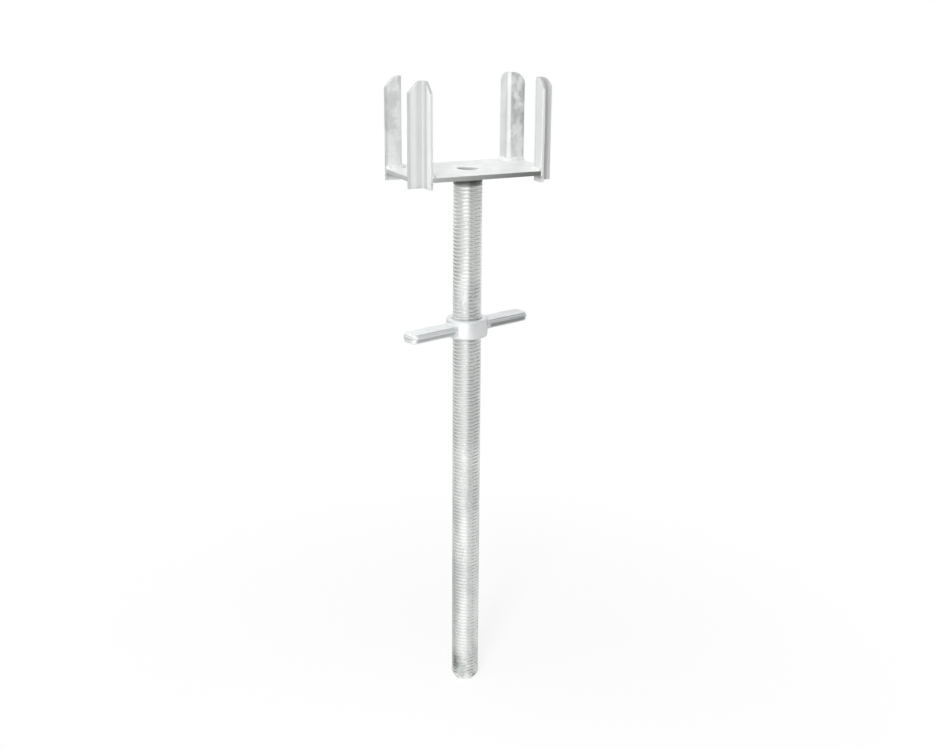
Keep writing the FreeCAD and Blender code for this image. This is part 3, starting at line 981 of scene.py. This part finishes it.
def thread_material(finish, thread):
    """Galvanised thread: pale crests, greenish roots, dull clouds, painted plate shadow, a stained foot."""
    material, tree, shader, place = new_material("galvanised_thread")
    height = add_node(tree, "ShaderNodeSeparateXYZ", {0: place}).outputs["Z"]
    radius = vector_length(tree, vector_result(tree, "MULTIPLY", place, (1, 1, 0)))
    crest = TUBE_HIGH[0]
    depth = ranged(tree, radius, crest - thread.depth, crest - 0.15 * thread.depth, 1.0, 0.0)
    tone = clouded(tree, place, 0.6 * finish.crystal, 1.6 * finish.cloud, 3.0, 0.4)
    base = blended(tree, ranged(tree, tone, 0.0, 1.0), opaque(finish.pale), opaque(finish.shade))
    base = blended(tree, depth, base, opaque(finish.root))
    base = blended(tree, foot_stains(tree, place, height), base, opaque(finish.stain))
    # Painted shadow of the plate on the spindle: dark from 12 mm below the plate up to it, fading over 5
    # mm, then faintly over 40 mm more
    ring_foot = PLATE_LOW[2] - 17 * MM
    painted_shade_fade = ranged(tree, height, ring_foot - 40 * MM, ring_foot, 0.0, 0.1)
    painted_plate_shade = ranged(tree, height, ring_foot, ring_foot + 5 * MM, 0.0, 0.95)
    base = blended(tree, calculate(tree, "MAXIMUM", painted_shade_fade, painted_plate_shade), base, opaque(finish.painted_plate_shade))
    crest_roughness, root_roughness = 0.24, 0.34
    roughness = ranged(tree, depth, 0.0, 1.0, crest_roughness, root_roughness)
    tree.links.new(base, shader.inputs["Base Color"])
    tree.links.new(roughness, shader.inputs["Roughness"])
    shader.inputs["Metallic"].default_value = 0.88
    add_skin(tree, shader, place, finish, 4, 0.25)
    return material


# Stage

def seen_white(tree):
    """1 for what the camera, a reflection or a refraction shows, and 0 for light on the object."""
    path = tree.nodes.new("ShaderNodeLightPath").outputs
    seen = calculate(tree, "MAXIMUM", path["Is Camera Ray"], path["Is Glossy Ray"])
    return calculate(tree, "MAXIMUM", seen, path["Is Transmission Ray"])


def floor_material(stage):
    """Plain pale floor that shows as white, with the object's shadow left on it."""
    material = bpy.data.materials.new("studio_floor")
    material.use_nodes = True
    tree = material.node_tree
    tree.nodes.clear()
    plain = add_node(tree, "ShaderNodeBsdfDiffuse", {"Color": opaque(stage.floor)}).outputs[0]
    bright = add_node(tree, "ShaderNodeBsdfDiffuse", {"Color": WHITE}).outputs[0]
    white = add_node(tree, "ShaderNodeEmission", {"Color": WHITE, "Strength": 1.0}).outputs[0]
    place = tree.nodes.new("ShaderNodeTexCoord").outputs["Object"]
    away = vector_length(tree, place)
    near, far, strength = 0.05, 0.8, 0.18
    shadow_share = ranged(tree, away, near, far, strength, 0.0)
    shaded = add_node(tree, "ShaderNodeMixShader", {0: shadow_share, 1: white, 2: bright}).outputs[0]
    result = add_node(tree, "ShaderNodeMixShader", {0: seen_white(tree), 1: plain, 2: shaded}).outputs[0]
    add_node(tree, "ShaderNodeOutputMaterial", {"Surface": result})
    return material


def screen_material():
    """Lit cloth of the studio screens, as bright as the mesh is marked."""
    material, tree, shader, _ = new_material("studio_screen")
    shader.inputs["Base Color"].default_value = (0, 0, 0, 1)
    shader.inputs["Specular IOR Level"].default_value = 0.0
    shader.inputs["Emission Strength"].default_value = 1.0
    tree.links.new(attribute(tree, TONE), shader.inputs["Emission Color"])
    return material


def stage_mesh(name, points, quads, material):
    """A mesh that belongs to the stage."""
    mesh = bpy.data.meshes.new(name)
    mesh.from_pydata(points.tolist(), [], quads.tolist())
    mesh.materials.append(material)
    made = bpy.data.objects.new(name, mesh)
    bpy.context.scene.collection.objects.link(made)
    return made


def add_floor(stage):
    """A round floor under the spindle's lower end: rings of points about the axis."""
    level = CAD_BOX[0].z - 0.2 * MM
    profile = [(radius, level) for radius in np.linspace(0.001, 6.0, 12)]
    stage_mesh("studio_floor", *lathe(profile, 96), floor_material(stage))


def camera_bearing(stage, degrees):
    """Unit plan vector from the spindle to a bearing, in degrees right of the camera as seen from there."""
    turn = stage.side_angle - math.radians(degrees)
    return np.array([-math.sin(turn), -math.cos(turn)])


def add_screen(stage, name, material, bearings, places, tones):
    """A cloth that shows only in reflections: bands round the spindle between (radius, height) places.

    Its brightness runs evenly from one place's tone to the next, at each of the bearings.
    """
    ways = np.array([camera_bearing(stage, degrees) for degrees in bearings])
    rows = [with_height(ways * radius, height) for radius, height in places]
    screen = stage_mesh(name, np.concatenate(rows), grid_quads(len(places), len(ways)), material)
    mark_points(screen.data, TONE, np.broadcast_to(tones, (len(places), len(ways))))
    screen.visible_camera = False
    screen.visible_diffuse = False
    screen.visible_shadow = False


def add_softbox(name, place, target, width, depth, power):
    """A rectangular area lamp that points from its place at a target and shows in no reflection."""
    lamp = bpy.data.lights.new(name, "AREA")
    lamp.shape = "RECTANGLE"
    lamp.size = width
    lamp.size_y = depth
    lamp.energy = power
    made = bpy.data.objects.new(name, lamp)
    made.location = place
    made.rotation_euler = (Vector(target) - Vector(place)).to_track_quat("-Z", "Y").to_euler()
    made.visible_glossy = False
    bpy.context.scene.collection.objects.link(made)


def add_world(stage):
    """White surroundings for camera and reflections, and even light of the room for everything else."""
    world = bpy.data.worlds.new("studio")
    world.use_nodes = True
    tree = world.node_tree
    tree.nodes.clear()
    white = add_node(tree, "ShaderNodeBackground", {"Color": WHITE, "Strength": 1.0}).outputs[0]
    room = add_node(tree, "ShaderNodeBackground", {"Color": WHITE, "Strength": stage.ambient}).outputs[0]
    result = add_node(tree, "ShaderNodeMixShader", {0: seen_white(tree), 1: room, 2: white}).outputs[0]
    add_node(tree, "ShaderNodeOutputWorld", {"Surface": result})
    bpy.context.scene.world = world


def add_camera(stage):
    """The camera at the photograph's viewing angle: left of the front, above the plate, tilted down."""
    yaw = stage.side_angle + stage.aim
    ahead = np.array([math.sin(yaw), math.cos(yaw), 0.0])
    right = np.array([math.cos(yaw), -math.sin(yaw), 0.0])
    level = np.array([0.0, 0.0, 1.0])
    forward = math.cos(stage.tilt) * ahead - math.sin(stage.tilt) * level
    upward = math.sin(stage.tilt) * ahead + math.cos(stage.tilt) * level
    rolled_right = math.cos(stage.roll) * right + math.sin(stage.roll) * upward
    rolled_up = math.cos(stage.roll) * upward - math.sin(stage.roll) * right
    lens = bpy.data.cameras.new("photo_camera")
    lens.sensor_fit = "HORIZONTAL"
    lens.sensor_width = 36.0
    lens.lens = stage.focal_pixels * lens.sensor_width / PICTURE_WIDTH
    camera = bpy.data.objects.new("photo_camera", lens)
    place = with_height(camera_bearing(stage, 0)[None] * stage.distance, stage.height)[0]
    columns = np.column_stack([rolled_right, rolled_up, -forward, place])
    camera.matrix_world = Matrix(np.vstack([columns, [0, 0, 0, 1]]).tolist())
    bpy.context.scene.collection.objects.link(camera)
    bpy.context.scene.camera = camera


# Operators

class FORKJACK_OT_spindle(bpy.types.Operator):
    """Build the threaded spindle"""

    bl_idname = "forkjack.spindle"
    bl_label = "Threaded Spindle"

    def execute(self, context):
        scene = context.scene
        material = thread_material(scene.jack_zinc, scene.jack_thread)
        make_piece("threaded_spindle", spindle_parts(scene.jack_thread), material, "jack",
                   ["spindle_tube"])
        return {"FINISHED"}


class FORKJACK_OT_plate(bpy.types.Operator):
    """Build the cross-shaped head plate"""

    bl_idname = "forkjack.plate"
    bl_label = "Head Plate"

    def execute(self, context):
        finish = context.scene.jack_zinc
        look = {"metal": 0.4, "roughness": 0.4, "crystals": 0.2, "stretch": 1.0, "skin": 0.2}
        material = zinc_material("galvanised_plate", finish, finish.pale, finish.plate, look)
        points, quads, marks = plate_parts(context.scene.jack_plate)
        make_piece("cross_plate", [(points, quads)], material, "jack", ["head_plate"],
                   marks)
        return {"FINISHED"}


class FORKJACK_OT_uprights(bpy.types.Operator):
    """Build the four folded uprights"""

    bl_idname = "forkjack.uprights"
    bl_label = "Folded Uprights"

    def execute(self, context):
        finish = context.scene.jack_zinc
        look = {"metal": 0.5, "roughness": 0.4, "crystals": 0.4, "stretch": 1.6, "skin": 0.3,
                "mottled_leg": True}
        for place, corner in UPRIGHTS.items():
            pale = np.array(finish.pale) + corner["fade"] * (np.array(finish.shade) - finish.pale)
            dull = np.array(finish.pale) + corner["dulling"] * (np.array(finish.shade) - finish.pale)
            material = zinc_material("galvanised_angle_" + place, finish, pale, dull, look)
            points, quads, marks = upright_parts(context.scene.jack_upright, corner)
            points = points * [*corner["side"], 1]
            make_piece("folded_angle_" + place, [(points, quads)], material, "jack",
                       ["upright_" + place], marks)
        return {"FINISHED"}


class FORKJACK_OT_welds(bpy.types.Operator):
    """Build the rippled weld beads"""

    bl_idname = "forkjack.welds"
    bl_label = "Weld Beads"

    def execute(self, context):
        scene = context.scene
        finish, sizes = scene.jack_zinc, scene.jack_weld
        look = {"metal": 0.6, "roughness": 0.36, "crystals": 0.1, "stretch": 1.0, "skin": 0.2}
        material = zinc_material("galvanised_weld", finish, finish.pale, finish.plate, look)
        # The spindle's weld bead under the plate is coloured with the plate's painted shadow
        painted_plate_shade = zinc_material("weld_in_painted_shade", finish, 1.6 * np.array(finish.painted_plate_shade), finish.painted_plate_shade, look)
        bend = scene.jack_upright.inner_bend + scene.jack_upright.wall
        leg = CORNER_HIGH[0] - CORNER_LOW[0]
        for place, corner in UPRIGHTS.items():
            points, quads = upright_weld_parts(sizes, bend, leg)
            points = points * [*corner["side"], 1]
            make_piece("weld_bead_" + place, [(points, quads)], material, "jack",
                       ["weld_" + place])
        make_piece("weld_bead_spindle", [spindle_weld_parts(sizes)], painted_plate_shade, "jack",
                   ["spindle_weld"])
        return {"FINISHED"}


class FORKJACK_OT_wing_nut(bpy.types.Operator):
    """Build the cast wing nut"""

    bl_idname = "forkjack.wing_nut"
    bl_label = "Cast Wing Nut"

    def execute(self, context):
        finish = context.scene.jack_zinc
        look = {"metal": 0.6, "roughness": 0.39, "crystals": 0.15, "stretch": 1.0, "skin": 0.07}
        material = zinc_material("galvanised_casting", finish, finish.casting, finish.plate, look)
        points, quads, marks = nut_parts(context.scene.jack_nut)
        make_piece("cast_wing_nut", [(points, quads)], material, "wing_nut", ["wing_nut"],
                   marks)
        return {"FINISHED"}


class FORKJACK_OT_stage(bpy.types.Operator):
    """Set up the floor, lamps, screens and camera"""

    bl_idname = "forkjack.stage"
    bl_label = "Studio Stage"

    def execute(self, context):
        stage = context.scene.jack_stage
        context.scene.view_settings.view_transform = "Standard"
        add_world(stage)
        add_floor(stage)
        front = camera_bearing(stage, -14) * 2.0
        add_softbox("front_softbox", (*front, 1.2), (0.0, 0.0, 0.5), 0.5, 0.9, stage.front_lamp)
        add_softbox("top_softbox", (-0.5, -0.3, 2.4), (0.0, 0.0, 0.7), 1.5, 1.5, stage.top_lamp)
        cloth = screen_material()
        bearings = np.linspace(-180, 180, 121)
        surround = [np.interp(bearings, SURROUND_BEARINGS, tones) for tones in SURROUND_TONES]
        add_screen(stage, "surround", cloth, bearings, SURROUND_PLACES, surround)
        upper = np.linspace(40, 76, 13)
        upper_tones = np.interp(upper, (46, 56), (stage.upper_screen, 1.5 * stage.upper_screen))
        add_screen(stage, "upper_screen", cloth, upper, ((1.0, 0.6), (1.0, 0.86)), upper_tones)
        side = np.linspace(14, 40, 14)
        side_tones = np.interp(side, (28, 40), (stage.side_screen, stage.upper_screen))
        add_screen(stage, "side_screen", cloth, side, ((1.0, 0.6), (1.0, 1.2)), side_tones)
        back = np.linspace(60, 130, 13)
        add_screen(stage, "back_screen", cloth, back, ((1.0, 0.8), (1.0, 1.6)), stage.back_screen)
        overhead = ((0.01, 1.7), (0.8, 1.7))
        add_screen(stage, "ceiling_screen", cloth, bearings, overhead, stage.ceiling_screen)
        add_camera(stage)
        return {"FINISHED"}


class FORKJACK_PT_pieces(bpy.types.Panel):
    """Lists the pieces of the fork head jack"""

    bl_idname = "FORKJACK_PT_pieces"
    bl_label = "Fork Head Jack"
    bl_space_type = "VIEW_3D"
    bl_region_type = "UI"
    bl_category = "Fork Jack"

    def draw(self, context):
        for operator in OPERATORS:
            self.layout.operator(operator.bl_idname)
        for name in SETTINGS:
            group = getattr(context.scene, name)
            box = self.layout.box()
            for key in group.bl_rna.properties.keys():
                if key not in ("rna_type", "name"):
                    box.prop(group, key)


SETTINGS = {
    "jack_thread": ThreadSizes,
    "jack_upright": UprightSizes,
    "jack_plate": PlateSizes,
    "jack_weld": WeldSizes,
    "jack_nut": NutSizes,
    "jack_zinc": ZincFinish,
    "jack_stage": StudioStage,
}
OPERATORS = (FORKJACK_OT_spindle, FORKJACK_OT_plate, FORKJACK_OT_uprights, FORKJACK_OT_welds,
             FORKJACK_OT_wing_nut, FORKJACK_OT_stage)


def register():
    """Registers the classes and hangs the settings on the scene."""
    for group in SETTINGS.values():
        bpy.utils.register_class(group)
    for operator in OPERATORS:
        bpy.utils.register_class(operator)
    bpy.utils.register_class(FORKJACK_PT_pieces)
    for name, group in SETTINGS.items():
        setattr(bpy.types.Scene, name, PointerProperty(type=group))


def unregister():
    """Takes away what register made."""
    for name in SETTINGS:
        delattr(bpy.types.Scene, name)
    bpy.utils.unregister_class(FORKJACK_PT_pieces)
    for made in (*reversed(OPERATORS), *reversed(SETTINGS.values())):
        bpy.utils.unregister_class(made)


def main():
    register()
    bpy.ops.forkjack.spindle()
    bpy.ops.forkjack.plate()
    bpy.ops.forkjack.uprights()
    bpy.ops.forkjack.welds()
    bpy.ops.forkjack.wing_nut()
    bpy.ops.forkjack.stage()


if __name__ == "__main__":
    main()
